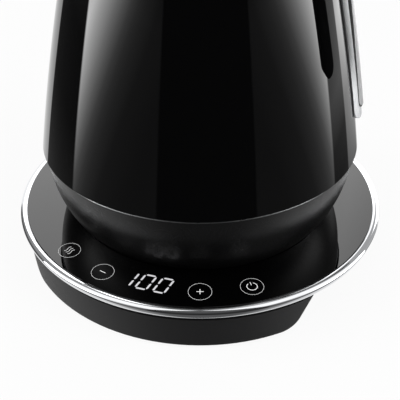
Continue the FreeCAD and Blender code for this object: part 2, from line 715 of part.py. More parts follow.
def vessel_seal():
    low = max(HEATER_BOTTOM, TRIM_TOP + TRIM_SPIGOT_UP + FIT)
    high = HEATER_BOTTOM + HEATER_RIM
    return body_solid(-BODY_WALL - FIT, low, high).cut(disc(heater_rim_radius() + FIT, low, high))


def heat_spreader():
    hole = disc(PROBE_RADIUS + PROBE_SEAL_WALL + PROBE_SEAL_LIP + FIT, SPREADER_BOTTOM, HEATER_BOTTOM, probe_place())
    return disc(SPREADER_RADIUS, SPREADER_BOTTOM, HEATER_BOTTOM).cut(hole)


def heater_element():
    """Sheathed element under the spreader, an open ring with two terminals that turn down."""
    height = SPREADER_BOTTOM - ELEMENT_RADIUS
    torus = Part.makeTorus(ELEMENT_CIRCLE, ELEMENT_RADIUS, Vector(0, 0, height), UP, 0, 360, ELEMENT_SWEEP)
    turn = math.radians(ELEMENT_SWEEP)
    ends = [(ELEMENT_CIRCLE, 0), (ELEMENT_CIRCLE * math.cos(turn), ELEMENT_CIRCLE * math.sin(turn))]
    drop = 3 * ELEMENT_RADIUS
    pins = [disc(ELEMENT_RADIUS / 2, height - drop, height, place) for place in ends]
    element = torus.multiFuse(pins)
    element.rotate(ORIGIN, UP, -ELEMENT_SWEEP / 2)
    return element


def kettle_socket():
    """Cup that drops over the connector's pillar, with a flange on the plinth's cover."""
    inner = PILLAR_RADIUS + RUN
    outer = PILLAR_RADIUS + SOCKET_WALL
    cup = disc(outer, SOCKET_BOTTOM, SOCKET_TOP).cut(disc(inner, SOCKET_BOTTOM, PILLAR_TOP + RUN))
    flange_low = PLINTH_COVER_TOP
    flange = ring(inner, outer + SOCKET_FLANGE, max(flange_low, SOCKET_BOTTOM), flange_low + SOCKET_FLANGE_THICK)
    return cup.fuse(flange).removeSplitter()


def socket_contacts():
    """Earth pin and two ring blades that hang from the socket's roof into the connector's grooves."""
    roof = PILLAR_TOP + RUN
    low = PILLAR_TOP - GROOVE_DEPTH + GROOVE_WIDTH
    blades = []
    for radius in GROOVE_RADII:
        inner = radius + FIT + CONTACT_WALL + RUN
        blades.append(ring(inner, inner + CONTACT_WALL, low, roof))
    pin = PIN_BORE - FIT - CONTACT_WALL - RUN
    blades.append(disc(pin, low, roof))
    return group(blades)


def thermal_control():
    """Control block between the socket and the spreader, with a flange for its bimetal discs."""
    body = disc(CONTROL_RADIUS, SOCKET_TOP, SPREADER_BOTTOM)
    middle = (SOCKET_TOP + SPREADER_BOTTOM) / 2
    waist = ring(CONTROL_RADIUS - SOCKET_ROOF, CONTROL_RADIUS, SOCKET_TOP + SOCKET_ROOF, middle)
    return body.cut(waist)


def temperature_probe():
    low = SPREADER_BOTTOM - PROBE_SEAL_LIP
    high = HEATER_BOTTOM + PROBE_RISE
    probe = disc(PROBE_RADIUS, low, high, probe_place())
    tip = [e for e in probe.Edges if e.BoundBox.ZMin > high - FIT]
    return probe.makeFillet(0.9 * PROBE_RADIUS, tip)


def probe_seal():
    x, y = probe_place()
    neck = PROBE_RADIUS + PROBE_SEAL_WALL
    lip = neck + PROBE_SEAL_LIP
    stem = disc(neck, SPREADER_BOTTOM, HEATER_BOTTOM + HEATER_THICK + PROBE_SEAL_LIP, (x, y))
    below = disc(lip, SPREADER_BOTTOM, HEATER_BOTTOM, (x, y))
    above = disc(lip, HEATER_BOTTOM + HEATER_THICK, HEATER_BOTTOM + HEATER_THICK + PROBE_SEAL_LIP, (x, y))
    bore = disc(PROBE_RADIUS, SPREADER_BOTTOM, HEATER_BOTTOM + PROBE_RISE, (x, y))
    return stem.multiFuse([below, above]).cut(bore).removeSplitter()


# Spout

def rounded_path(points, bends):
    """Straight runs joined by tangent arcs, in the XZ plane."""
    edges = []
    start = points[0]
    for before, corner, after, bend in zip(points, points[1:], points[2:], bends):
        back = (before - corner).normalize()
        ahead = (after - corner).normalize()
        half = back.getAngle(ahead) / 2
        run = bend / math.tan(half)
        middle = (back + ahead).normalize() * (bend / math.sin(half) - bend)
        edges.append(Part.LineSegment(start, corner + back * run).toShape())
        edges.append(Part.Arc(corner + back * run, corner + middle, corner + ahead * run).toShape())
        start = corner + ahead * run
    edges.append(Part.LineSegment(start, points[-1]).toShape())
    return Part.Wire(edges)


def spout_points():
    neck = math.radians(SPOUT_NECK_SLOPE)
    start = spout_root() - spout_axis() * SPOUT_ROOT_RADIUS
    first = spout_root() + spout_axis() * SPOUT_ROOT_RUN
    second = first + Vector(-math.cos(neck), 0, math.sin(neck)) * SPOUT_NECK_RUN
    tip = second + Vector(-SPOUT_TIP_RUN, 0, 0)
    return [start, first, second, tip]


def spout_tube(inset):
    """Tube that narrows evenly from the root to the tip."""
    points = spout_points()
    path = rounded_path(points, (SPOUT_ROOT_BEND, SPOUT_TIP_BEND))
    root = Part.Wire(Part.Circle(points[0], spout_axis(), SPOUT_ROOT_RADIUS - inset).toShape())
    tip = Part.Wire(Part.Circle(points[-1], Vector(-1, 0, 0), SPOUT_TIP_RADIUS - inset).toShape())
    return path.makePipeShell([root, tip], True, False)


def spout():
    tube = spout_tube(0).cut(spout_tube(SPOUT_WALL))
    return tube.cut(body_solid(FIT, BODY_FOOT, BODY_TOP))


def spout_collar():
    """Rounded collar that covers the joint between the spout and the body."""
    outer = SPOUT_ROOT_RADIUS + SPOUT_COLLAR_WALL
    sleeve = along_spout(outer, SPOUT_ROOT_RADIUS, SPOUT_COLLAR_LENGTH)
    far = spout_root() + spout_axis() * SPOUT_COLLAR_LENGTH
    end = [e for e in sleeve.Edges if abs((e.BoundBox.Center - far).Length) < FIT and e.Length > outer]
    sleeve = sleeve.makeFillet(SPOUT_COLLAR_WALL * 0.8, end)
    hole = along_spout(SPOUT_ROOT_RADIUS + FIT, SPOUT_ROOT_RADIUS + FIT, SPOUT_COLLAR_LENGTH + FIT)
    return sleeve.cut(hole).cut(body_solid(FIT, BODY_FOOT, BODY_TOP))


def spout_strainer():
    """Pierced patch inside the body wall, over the spout's root."""
    radius = SPOUT_ROOT_RADIUS + STRAINER_MARGIN
    height = spout_root().z
    low = height - 2 * radius
    high = min(height + 2 * radius, BODY_TOP)
    skin = body_skin(-BODY_WALL - FIT - STRAINER_THICK, -BODY_WALL - FIT, low, high)
    patch = skin.common(along_spout(radius, BODY_TOP_RADIUS / 2, 0))
    side = Vector(0, 1, 0)
    upward = spout_axis().cross(side)
    rows = int((SPOUT_ROOT_RADIUS - SPOUT_WALL - STRAINER_HOLE) / STRAINER_PITCH)
    holes = []
    for row in range(-rows, rows + 1):
        for column in range(-rows, rows + 1):
            offset = math.hypot(row, column) * STRAINER_PITCH
            if offset > rows * STRAINER_PITCH:
                continue
            start = spout_root() + side * (row * STRAINER_PITCH) + upward * (column * STRAINER_PITCH)
            start = start - spout_axis() * (BODY_TOP_RADIUS / 2)
            holes.append(Part.makeCylinder(STRAINER_HOLE, BODY_TOP_RADIUS, start, spout_axis()))
    return patch.cut(Part.makeCompound(holes))


# Water gauge

def body_bar(half_width, edge, proud, low, high, corner):
    """Bar up the body's +X side, cut from a round rod, so that it swells from its edges to its middle."""
    swell = proud - edge
    rod_radius = (half_width ** 2 + swell ** 2) / (2 * swell)
    margin = 2 * proud
    path = body_curve(0, low - margin, high + margin)
    along = path.tangentAt(path.FirstParameter)
    outward = Vector(along.z, 0, -along.x)
    start = path.valueAt(path.FirstParameter)
    section = Part.Circle(start + outward * (proud - rod_radius), along, rod_radius).toShape()
    rod = Part.Wire([path]).makePipeShell([Part.Wire([section])], True, False)
    return rod.common(rounded_prism(half_width, low, high, corner, 0, BODY_FOOT_RADIUS + margin))


def gauge_frame():
    """Spine with an opening for the window."""
    bar = body_bar(SPINE_HALF_WIDTH, 0, SPINE_PROUD, SPINE_BOTTOM, SPINE_TOP, SPINE_CORNER)
    opening = rounded_prism(WINDOW_HALF_WIDTH + FIT, WINDOW_BOTTOM - FIT, WINDOW_TOP + FIT,
                            WINDOW_HALF_WIDTH / 2, 0, BODY_FOOT_RADIUS + WINDOW_PROUD)
    return bar.cut(body_solid(FIT, BODY_FOOT, BODY_TOP)).cut(opening)


def gauge_seal():
    pad = body_pad(FIT, WINDOW_SEAL, WINDOW_HALF_WIDTH, WINDOW_BOTTOM, WINDOW_TOP, WINDOW_HALF_WIDTH / 2)
    opening = rounded_prism(SLOT_HALF_WIDTH, SLOT_BOTTOM, SLOT_TOP, SLOT_HALF_WIDTH - FIT,
                            0, BODY_FOOT_RADIUS + WINDOW_PROUD)
    return pad.cut(opening)


def gauge_window():
    """Clear window with a tongue that fills the slot in the body's wall."""
    bar = body_bar(WINDOW_HALF_WIDTH, WINDOW_EDGE, WINDOW_PROUD, WINDOW_BOTTOM, WINDOW_TOP, WINDOW_HALF_WIDTH / 2)
    lens = bar.cut(body_solid(WINDOW_SEAL, BODY_FOOT, BODY_TOP))
    tongue = body_pad(-BODY_WALL, WINDOW_SEAL + FIT, SLOT_HALF_WIDTH - FIT, SLOT_BOTTOM + FIT, SLOT_TOP - FIT,
                      SLOT_HALF_WIDTH - 3 * FIT)
    return lens.fuse(tongue).removeSplitter()


# Handle

def handle_points():
    return [
        Vector(body_radius(ARM_HEIGHT), 0, ARM_HEIGHT),
        Vector(HANDLE_TOP_REACH, 0, ARM_HEIGHT + HANDLE_ARM_CLIMB),
        Vector(HANDLE_END_REACH, 0, BODY_FOOT + HANDLE_END_RISE),
    ]


def handle_path(shortened):
    """Arm and hanging bar, with the lower end drawn up by a length."""
    points = handle_points()
    up_bar = (points[1] - points[2]).normalize()
    points[2] = points[2] + up_bar * shortened
    return rounded_path(points, (HANDLE_BEND,))


def handle_outward():
    """Direction across the arm at its root, towards the handle's outer face."""
    points = handle_points()
    along = (points[1] - points[0]).normalize()
    return Vector(-along.z, 0, along.x)


def swept(corners, shortened=0.0):
    """Bar along the handle's path from corners given across and outward."""
    root = handle_points()[0]
    places = [root + Vector(0, across, 0) + handle_outward() * out for across, out in corners]
    outline = Part.makePolygon(places + places[:1])
    return handle_path(shortened).makePipeShell([outline], True, False)


def half_section(side):
    """Half of the rounded handle section, on the outer side (1) or the inner side (-1)."""
    half = HANDLE_WIDTH / 2
    face = HANDLE_THICK / 2
    edge = HANDLE_EDGE
    turn = edge * (1 - math.sqrt(0.5))
    root = handle_points()[0]

    def place(across, out):
        return root + Vector(0, across, 0) + handle_outward() * (side * out)

    edges = [
        Part.LineSegment(place(-half, 0), place(-half, face - edge)),
        Part.Arc(place(-half, face - edge), place(turn - half, face - turn), place(edge - half, face)),
        Part.LineSegment(place(edge - half, face), place(half - edge, face)),
        Part.Arc(place(half - edge, face), place(half - turn, face - turn), place(half, face - edge)),
        Part.LineSegment(place(half, face - edge), place(half, 0)),
        Part.LineSegment(place(half, 0), place(-half, 0)),
    ]
    return Part.Wire([edge.toShape() for edge in edges])


def handle_end_cutter():
    """Rounded block round the hanging bar, whose lower corners shape the bar's end."""
    points = handle_points()
    down = (points[2] - points[1]).normalize()
    length = (points[2] - points[1]).Length + HANDLE_BEND
    box = Part.makeBox(4 * HANDLE_THICK, HANDLE_WIDTH, length, Vector(-2 * HANDLE_THICK, -HANDLE_WIDTH / 2, 0))
    low = [e for e in box.Edges if e.BoundBox.ZMax < FIT and e.BoundBox.XLength > HANDLE_THICK]
    box = box.makeFillet(HANDLE_END_CORNER, low)
    tilt = math.degrees(math.atan2(-down.x, -down.z))
    box.rotate(ORIGIN, Vector(0, 1, 0), tilt)
    box.translate(points[2])
    return box


def handle_arm_keep():
    """Everything above the bar's rounded end."""
    points = handle_points()
    corner_height = points[2].z + 2 * HANDLE_END_CORNER
    reach = 2 * HANDLE_END_REACH
    return Part.makeBox(reach, HANDLE_WIDTH, BODY_HEIGHT + BODY_TOP, Vector(0, -HANDLE_WIDTH / 2, corner_height))


def screw_places():
    """Screw seats on the bar's inner face, and the direction into the bar."""
    points = handle_points()
    up_bar = (points[1] - points[2]).normalize()
    inward = Vector(up_bar.z, 0, -up_bar.x)
    return [points[2] + up_bar * HANDLE_SCREW_LOW, points[1] - up_bar * HANDLE_SCREW_DROP], inward


def handle_half(side):
    bar = handle_path(0.0).makePipeShell([half_section(side)], True, False)
    keep = handle_end_cutter().fuse(handle_arm_keep())
    half = CORE_WIDTH / 2 + FIT
    deep = CORE_THICK / 2 + FIT
    channel = swept([(-half, -deep), (half, -deep), (half, deep), (-half, deep)], CORE_SHORT - FIT)
    seat = body_solid(MOUNT_PROUD + FIT, BODY_FOOT, BODY_TOP)
    return bar.common(keep).cut(channel).cut(seat)


def handle_outer():
    return handle_half(1)


def handle_inner():
    """Inner half, with counterbores for the screws."""
    half = handle_half(-1)
    seats, inward = screw_places()
    for seat in seats:
        face = seat - inward * (HANDLE_THICK / 2)
        head = Part.makeCylinder(SCREW_HEAD_RADIUS + FIT, SCREW_HEAD_HEIGHT + FIT, face, inward)
        shank = Part.makeCylinder(SCREW_RADIUS + FIT, HANDLE_THICK / 2, face, inward)
        half = half.cut(head).cut(shank)
    return half


def handle_core():
    """Steel strap inside the handle, with tapped holes for the screws."""
    half = CORE_WIDTH / 2
    deep = CORE_THICK / 2
    strap = swept([(-half, -deep), (half, -deep), (half, deep), (-half, deep)], CORE_SHORT)
    seats, inward = screw_places()
    for seat in seats:
        strap = strap.cut(Part.makeCylinder(SCREW_RADIUS + FIT, HANDLE_THICK, seat - inward * HANDLE_THICK / 2, inward))
    return strap.cut(body_solid(MOUNT_PROUD, BODY_FOOT, BODY_TOP))


def handle_screws():
    seats, inward = screw_places()
    solids = []
    for seat in seats:
        face = seat - inward * (HANDLE_THICK / 2)
        head = Part.makeCylinder(SCREW_HEAD_RADIUS, SCREW_HEAD_HEIGHT, face + inward * FIT, inward)
        depth = HANDLE_THICK / 2 + CORE_THICK / 2 - FIT
        shank = Part.makeCylinder(SCREW_RADIUS, depth, face + inward * FIT, inward)
        solids.append(head.fuse(shank))
    return group(solids)


def handle_mount():
    """Cast pad on the body that carries the handle's arm."""
    return body_pad(FIT, MOUNT_PROUD, MOUNT_HALF_WIDTH, ARM_HEIGHT - MOUNT_HALF_HEIGHT,
                    ARM_HEIGHT + MOUNT_HALF_HEIGHT, MOUNT_CORNER)


# Lid

def lid_cover_radius():
    return BODY_TOP_RADIUS + COLLAR_PROUD - LID_COVER_INSET


def lid_edge_top():
    return COLLAR_TOP + RUN + LID_EDGE_HEIGHT


def lid_inner():
    """Shallow pan that plugs the collar and hangs from the cover."""
    top = COLLAR_TOP + RUN
    low = top - LID_PLUG_DEPTH - COLLAR_HEIGHT
    pan = ring(LID_PLUG_RADIUS - LID_WALL, LID_PLUG_RADIUS, low, top)
    floor = disc(LID_PLUG_RADIUS, low, low + LID_WALL)
    hole = disc(SCREW_RADIUS + FIT, low, low + LID_WALL)
    return pan.fuse(floor).cut(hole).removeSplitter()


def lid_seal():
    """Soft ring on the pan that brushes the collar's bore."""
    top = COLLAR_TOP - COLLAR_HEIGHT / 2
    inner = LID_PLUG_RADIUS + FIT
    return ring(inner, COLLAR_INNER - RUN, top - LID_SEAL_THICK, top)


def lid_cover():
    """Domed cap with a hollow underside and a boss for the knob's screw."""
    outer = lid_cover_radius()
    low = COLLAR_TOP + RUN
    edge = lid_edge_top()
    crown = edge + LID_DOME_RISE
    inner = outer - LID_COVER_WALL
    under = crown - LID_COVER_WALL
    cap = revolve([
        line((0, low), (outer, low)),
        line((outer, low), (outer, edge)),
        dome(outer, edge, LID_DOME_RISE),
        line((0, crown), (0, low)),
    ])
    hollow = revolve([
        line((0, low), (inner, low)),
        line((inner, low), (inner, edge)),
        dome(inner, edge, under - edge),
        line((0, under), (0, low)),
    ])
    boss = disc(BOSS_RADIUS, low, under)
    brim = ring(LID_PLUG_RADIUS - 2 * LID_WALL, inner + FIT, low, low + LID_WALL)
    bore = disc(SCREW_RADIUS + FIT, low, crown)
    return cap.cut(hollow).fuse(boss).fuse(brim).cut(bore).removeSplitter()


def lid_knob():
    """Turned knob with a slightly crowned top."""
    low = lid_edge_top() + LID_DOME_RISE
    neck = low + KNOB_STEM_HEIGHT
    brow = neck + KNOB_HEIGHT
    crown = brow + KNOB_CROWN
    flare = (KNOB_STEM_RADIUS + 0.3 * (KNOB_RADIUS - KNOB_STEM_RADIUS), low + 0.8 * KNOB_STEM_HEIGHT)
    knob = revolve([
        line((0, low), (KNOB_STEM_RADIUS, low)),
        arc((KNOB_STEM_RADIUS, low), flare, (KNOB_RADIUS, neck + KNOB_CROWN)),
        line((KNOB_RADIUS, neck + KNOB_CROWN), (KNOB_RADIUS, brow)),
        dome(KNOB_RADIUS, brow, KNOB_CROWN),
        line((0, crown), (0, low)),
    ])
    return knob.cut(disc(SCREW_RADIUS + FIT, low, low + SCREW_PILOT_DEPTH))


def knob_screw():
    low = COLLAR_TOP + RUN - LID_PLUG_DEPTH - COLLAR_HEIGHT
    length = lid_edge_top() + LID_DOME_RISE + SCREW_PILOT_DEPTH - FIT - low
    return screw(0, 0, low, length)


BASE_PIECES = {
    "base_housing": base_housing,
    "base_bottom_cover": base_bottom_cover,
    "base_feet": base_feet,
    "base_cover_screws": base_cover_screws,
    "touch_plate": touch_plate,
    "chrome_ring": chrome_ring,
    "base_connector": base_connector,
    "connector_contacts": connector_contacts,
    "touch_board": touch_board,
    "board_screws": board_screws,
    "touch_pads": touch_pads,
    "display_module": display_module,
    "power_board": power_board,
    "cord_inlet": cord_inlet,
}
KETTLE_PIECES = {
    "swivel_ring": swivel_ring,
    "plinth": plinth,
    "plinth_cover": plinth_cover,
    "plinth_screws": plinth_screws,
    "trim_ring": trim_ring,
    "body_gasket": body_gasket,
    "body_shell": body_shell,
    "rim_collar": rim_collar,
    "heater_plate": heater_plate,
    "vessel_seal": vessel_seal,
    "heat_spreader": heat_spreader,
    "heater_element": heater_element,
    "kettle_socket": kettle_socket,
    "socket_contacts": socket_contacts,
    "thermal_control": thermal_control,
    "temperature_probe": temperature_probe,
    "probe_seal": probe_seal,
    "spout": spout,
    "spout_collar": spout_collar,
    "spout_strainer": spout_strainer,
    "gauge_frame": gauge_frame,
    "gauge_seal": gauge_seal,
    "gauge_window": gauge_window,
    "handle_mount": handle_mount,
    "handle_core": handle_core,
    "handle_inner": handle_inner,
    "handle_outer": handle_outer,
    "handle_screws": handle_screws,
    "lid_inner": lid_inner,
    "lid_seal": lid_seal,
    "lid_cover": lid_cover,
    "lid_knob": lid_knob,
    "knob_screw": knob_screw,
}

os.makedirs("parts", exist_ok=True)
for name, make in BASE_PIECES.items():
    turned(make()).exportStep("parts/" + name + ".step")
for name, make in KETTLE_PIECES.items():
    make().exportStep("parts/" + name + ".step")
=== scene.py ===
import json
import math

import bmesh
import bpy
from mathutils import Matrix, Vector


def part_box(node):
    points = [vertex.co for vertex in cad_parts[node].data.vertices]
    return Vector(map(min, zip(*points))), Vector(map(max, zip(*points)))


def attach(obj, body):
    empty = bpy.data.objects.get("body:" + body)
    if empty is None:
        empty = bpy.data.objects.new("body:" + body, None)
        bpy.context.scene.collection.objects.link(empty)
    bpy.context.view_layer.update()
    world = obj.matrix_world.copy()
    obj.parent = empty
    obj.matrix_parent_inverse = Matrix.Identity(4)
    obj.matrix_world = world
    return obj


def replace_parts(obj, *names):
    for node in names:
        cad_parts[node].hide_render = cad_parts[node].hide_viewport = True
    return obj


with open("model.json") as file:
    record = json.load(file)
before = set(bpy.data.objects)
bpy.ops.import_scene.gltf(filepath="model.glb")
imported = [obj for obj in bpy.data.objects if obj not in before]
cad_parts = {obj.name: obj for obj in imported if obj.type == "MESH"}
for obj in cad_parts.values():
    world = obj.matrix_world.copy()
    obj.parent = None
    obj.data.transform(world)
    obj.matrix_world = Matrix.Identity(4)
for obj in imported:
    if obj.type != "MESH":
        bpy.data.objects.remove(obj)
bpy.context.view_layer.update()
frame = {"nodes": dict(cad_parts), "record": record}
nodes = frame["nodes"]
scene = bpy.context.scene
MM = 0.001

# Photograph's camera, in the row frame
CAMERA_TURN = math.radians(10.0)
CAMERA_RISE = math.radians(35.34)
CAMERA_DISTANCE = 340.1 * MM
CAMERA_AIM = Vector((0, 0, 15.3 * MM))
CAMERA_LENS = 58.85
SENSOR = 36.0
CLIP_START = 10 * MM

# Floor and lamps: a lamp's place and width in metres, and its power in watts
SOFT_LIGHT = 0.5
FLOOR_GLOW = 0.92
FLOOR_HALF = 3.0
FLOOR_PAINT = 0.9
LAMP_WIDTH = 0.8
LAMPS = {"key": ((-1.0, -0.3, 0.8), 6.0), "fill": ((1.0, -0.35, 0.6), 8.0)}

# Studio seen in the gloss, as upright bands: a dark panel behind the camera and, on each side of it,
# a side light, a gap and the white backdrop. Levels give brightness by elevation in degrees. A side
# light's brightness runs along a slant instead, so that it is brightest at its far upper corner, and
# ends under the ceiling. The table is bright below the level of its edge, more so to the sides. Each
# band starts at a heading, with an edge that is sharp or soft, and runs to the next.
STUDIO_TURN = 4.5
STUDIO_LEAN = 1.5
CEILING = [(7, 1.0), (22, 0.15)]
STUDIO_PEAK = 8.0
PANEL = [(-60, 0.1), (-30, 0.1), (-17, 0.025), (15, 0.025), (60, 0.1)]
SIDE_LIGHT = [(30, 0.1), (50, 0.15), (60, 0.3), (65, 0.45), (70, 0.8), (75, 1.6), (80, 2.7), (85, 4.2),
              (90, 5.7), (96, 8.0)]
LEFT_GAP = [(-24, 0.1), (-15, 0.045), (-5, 0.045), (25, 0.3)]
RIGHT_GAP = [(-23, 0.08), (-19, 0.14), (-14, 0.48), (25, 0.4)]
LEFT_BACKDROP = [(-30, 1.0), (20, 1.0), (32, 2.6), (66, 2.6), (72, 0.12)]
RIGHT_BACKDROP = [(-28, 0.2), (-18, 0.9), (-10, 2.5), (20, 2.9), (30, 0.4)]
TABLE = [(-36, 1.0), (-28, 0.0)]
TABLE_SIDES = [(25, 0.1), (50, 0.3), (75, 0.75), (140, 1.0)]
STUDIO = [
    (-200, 0.8, LEFT_BACKDROP),
    (-140, 0.8, LEFT_GAP),
    (-100, 0.8, SIDE_LIGHT),
    (-33, 0.8, PANEL),
    (33, 0.8, SIDE_LIGHT),
    (100, 0.8, RIGHT_GAP),
    (122, 0.8, RIGHT_BACKDROP),
    (153, 7, LEFT_BACKDROP),
]

# Finishes: colour, roughness with its spread, and the scale of the grain that varies it. Depth is the
# height of the grain's bump in metres. The grain can be stretched along an axis, as brushing does.
GRAIN_SPAN = (0.3, 0.7)      # part of the noise that the roughness follows
GRAIN_DETAIL = 3.0
FINISHES = {
    "gloss_black": dict(colour=(0.0008, 0.0008, 0.0009), roughness=0.02, spread=0.008, scale=90),
    "satin_black": dict(colour=(0.003, 0.003, 0.0032), roughness=0.3, spread=0.05, scale=2600,
                        depth=0.00002),
    "soft_black": dict(colour=(0.006, 0.006, 0.0063), roughness=0.5, spread=0.05, scale=2600, depth=0.00002,
                       sockets={"Specular IOR Level": 0.25}),
    "matt_black": dict(colour=(0.01, 0.01, 0.0105), roughness=0.5, spread=0.06, scale=2200, depth=0.00004),
    "chrome": dict(colour=(0.82, 0.83, 0.85), metallic=1.0, roughness=0.06, spread=0.03, scale=120),
    "trim": dict(colour=(0.56, 0.57, 0.58), metallic=1.0, roughness=0.3, spread=0.05, scale=400),
    "satin_silver": dict(colour=(0.76, 0.77, 0.78), metallic=1.0, roughness=0.42, spread=0.03, scale=2400,
                         stretch=(1, 1, 0.1)),
    "steel": dict(colour=(0.6, 0.6, 0.59), metallic=1.0, roughness=0.34, spread=0.04, scale=900,
                  depth=0.000005, stretch=(0.05, 0.05, 1)),
    "aluminium": dict(colour=(0.68, 0.68, 0.7), metallic=1.0, roughness=0.42, spread=0.08, scale=1200,
                      depth=0.00002),
    "brass": dict(colour=(0.74, 0.55, 0.24), metallic=1.0, roughness=0.28, spread=0.1, scale=700),
    "rubber": dict(colour=(0.02, 0.02, 0.02), roughness=0.8, spread=0.08, scale=1500, depth=0.00003),
    "pale_plastic": dict(colour=(0.72, 0.71, 0.67), roughness=0.45, spread=0.06, scale=900, depth=0.00001),
    "board": dict(colour=(0.02, 0.13, 0.05), roughness=0.4, spread=0.12, scale=500, depth=0.00001),
    "window": dict(colour=(0.75, 0.76, 0.77), roughness=0.25, spread=0.02, scale=140,
                   sockets={"Transmission Weight": 0.45, "IOR": 1.49}),
    "lit_sign": dict(colour=(0.5, 0.5, 0.5), roughness=0.5, spread=0.1, scale=1500,
                     sockets={"Emission Color": (1, 1, 1, 1), "Emission Strength": 0.6}),
    "lit_digit": dict(colour=(0.3, 0.3, 0.31), roughness=0.5, spread=0.1, scale=1500,
                      sockets={"Emission Color": (0.97, 0.96, 1, 1), "Emission Strength": 0.5}),
}
OWN_FINISH = {"gauge_frame": "satin_silver", "handle_mount": "soft_black", "handle_inner": "soft_black",
              "handle_outer": "soft_black"}

# Turned pieces, and the skins and bead that go with them
LATHE_STEPS = 288
SHARP_EDGE = math.radians(35)
ARC_STEPS = 16
FACE_GAP = 0.02 * MM         # between turned faces that meet
RING_FOOT = 1.6 * MM         # flat underside of the ring, from its inner wall
RING_LIP = 0.8 * MM
RING_PROUD = 0.3 * MM
RING_SLOPE = 0.35 * MM       # fall of the lip towards the plate
RING_WIDEST = 0.38           # share of the ring's height under its crest
PLINTH_WAIST = (72.6 * MM, 36.0 * MM)    # point that the skirt's curve bends towards
PLINTH_FOOT = 63.8 * MM
PLINTH_WALL = 2.5 * MM
PLINTH_ROWS = 40
TRIM_THICK = 0.5 * MM
TRIM_FLANGE = 2.9 * MM
TRIM_WALL = 1.6 * MM
BODY_TOP_RADIUS = 45.4 * MM
BODY_BELLY = 1.8 * MM
BODY_ROWS = 72
BODY_WALL = 1.2 * MM
STRAINER_SEAT = 1.5 * MM     # strainer's edge that the lining passes behind
LACQUER = 0.03 * MM          # outside the body's wall
BEAD = 0.6 * MM
BEAD_SINK = 0.25 * MM        # under the gauge window's face
LINING = 0.2 * MM            # inside the body's wall
COLLAR_STEP = 1.3 * MM       # spigot inside the body's outer face
COLLAR_WALL = 1.6 * MM
COLLAR_EDGE = 1.0 * MM
LID_RISE = 8.0 * MM
LID_EDGE = 0.7 * MM
LID_WALL = 2.4 * MM
LID_HOLE = 2.0 * MM
LID_ROWS = 48
KNOB_STEM = 6.0 * MM
KNOB_FLARE = 7.0 * MM        # height of the flare from the stem to the knob's side
KNOB_PULL = (0.7 * MM, 4.5 * MM)    # from the stem's foot to the point that the flare bends towards
KNOB_CROWN = 2.0 * MM
KNOB_EDGE = 0.8 * MM
KNOB_CENTRE = 0.02 * MM      # radius at which the crown closes
KNOB_BORE = 1.8 * MM
KNOB_BORE_DEPTH = 9.0 * MM

# Base: the controls stand on a circle, on each side of the display
BASE_TURN = math.radians(-6.4)
PLATE_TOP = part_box("touch_plate")[1].z
CONTROL_CIRCLE = 77.5 * MM
CONTROL_STEP = math.radians(16.4)
SIGN_RADIUS = 4.95 * MM
SIGN_LINE = 0.115 * MM
MARK_LINE = 0.3 * MM
WAVE_LINE = 0.2 * MM
SIGN_LIFT = 0.02 * MM
SIGN_MARK = 0.8             # size of a mark in its ring; the seven values below are shares of it
BAR_HALF = 0.38
BOW_RADIUS = 0.56
TICK_LOW = 0.2
TICK_HIGH = 0.68
WAVE_STEP = 0.36
WAVE_SWING = 0.1
WAVE_HALF = 0.5
BOW_ENDS = (120, 420)       # degrees, open at the top
SIGN_STEPS = 64
BOW_STEPS = 28
WAVE_STEPS = 16
DIGIT_WIDTH = 5.8 * MM
DIGIT_HEIGHT = 9.7 * MM
DIGIT_LINE = 0.85 * MM
DIGIT_GAP = 0.36 * MM
DIGIT_STEP = 7.85 * MM
DIGIT_SLANT = 0.19
DIGIT_SHIFT = Vector((-1.75 * MM, 2.3 * MM, 0))


# Camera, floor and light

def make_camera():
    data = bpy.data.cameras.new("camera")
    data.lens = CAMERA_LENS
    data.sensor_width = SENSOR
    data.clip_start = CLIP_START
    camera = bpy.data.objects.new("camera", data)
    scene.collection.objects.link(camera)
    back = Vector((
        math.sin(CAMERA_TURN) * math.cos(CAMERA_RISE),
        -math.cos(CAMERA_TURN) * math.cos(CAMERA_RISE),
        math.sin(CAMERA_RISE),
    ))
    camera.rotation_mode = "QUATERNION"
    camera.location = CAMERA_AIM + back * CAMERA_DISTANCE
    camera.rotation_quaternion = (-back).to_track_quat("-Z", "Y")
    scene.camera = camera


class Nodes:
    """Short way to add and link shader nodes in one tree."""

    def __init__(self, tree):
        self.tree = tree
        tree.nodes.clear()

    def add(self, kind, **values):
        node = self.tree.nodes.new(kind)
        for key, value in values.items():
            setattr(node, key, value)
        return node

    def link(self, source, target):
        self.tree.links.new(source, target)

    def math(self, operation, first, second=0.0):
        node = self.add("ShaderNodeMath", operation=operation)
        for socket, value in zip(node.inputs, (first, second)):
            if isinstance(value, (int, float)):
                socket.default_value = value
            else:
                self.link(value, socket)
        return node.outputs[0]

    def ramp(self, source, stops):
        node = self.add("ShaderNodeValToRGB")
        points = node.color_ramp.elements
        while len(points) < len(stops):
            points.new(0.5)
        for point, (place, value) in zip(points, stops):
            point.position = place
            point.color = (value, value, value, 1)
        self.link(source, node.inputs[0])
        return node.outputs["Color"]

    def by_degrees(self, source, stops):
        """Ramp whose stops stand at angles in degrees."""
        low, high = stops[0][0], stops[-1][0]
        share = self.math("DIVIDE", self.math("SUBTRACT", source, low), high - low)
        return self.ramp(share, [((angle - low) / (high - low), value) for angle, value in stops])


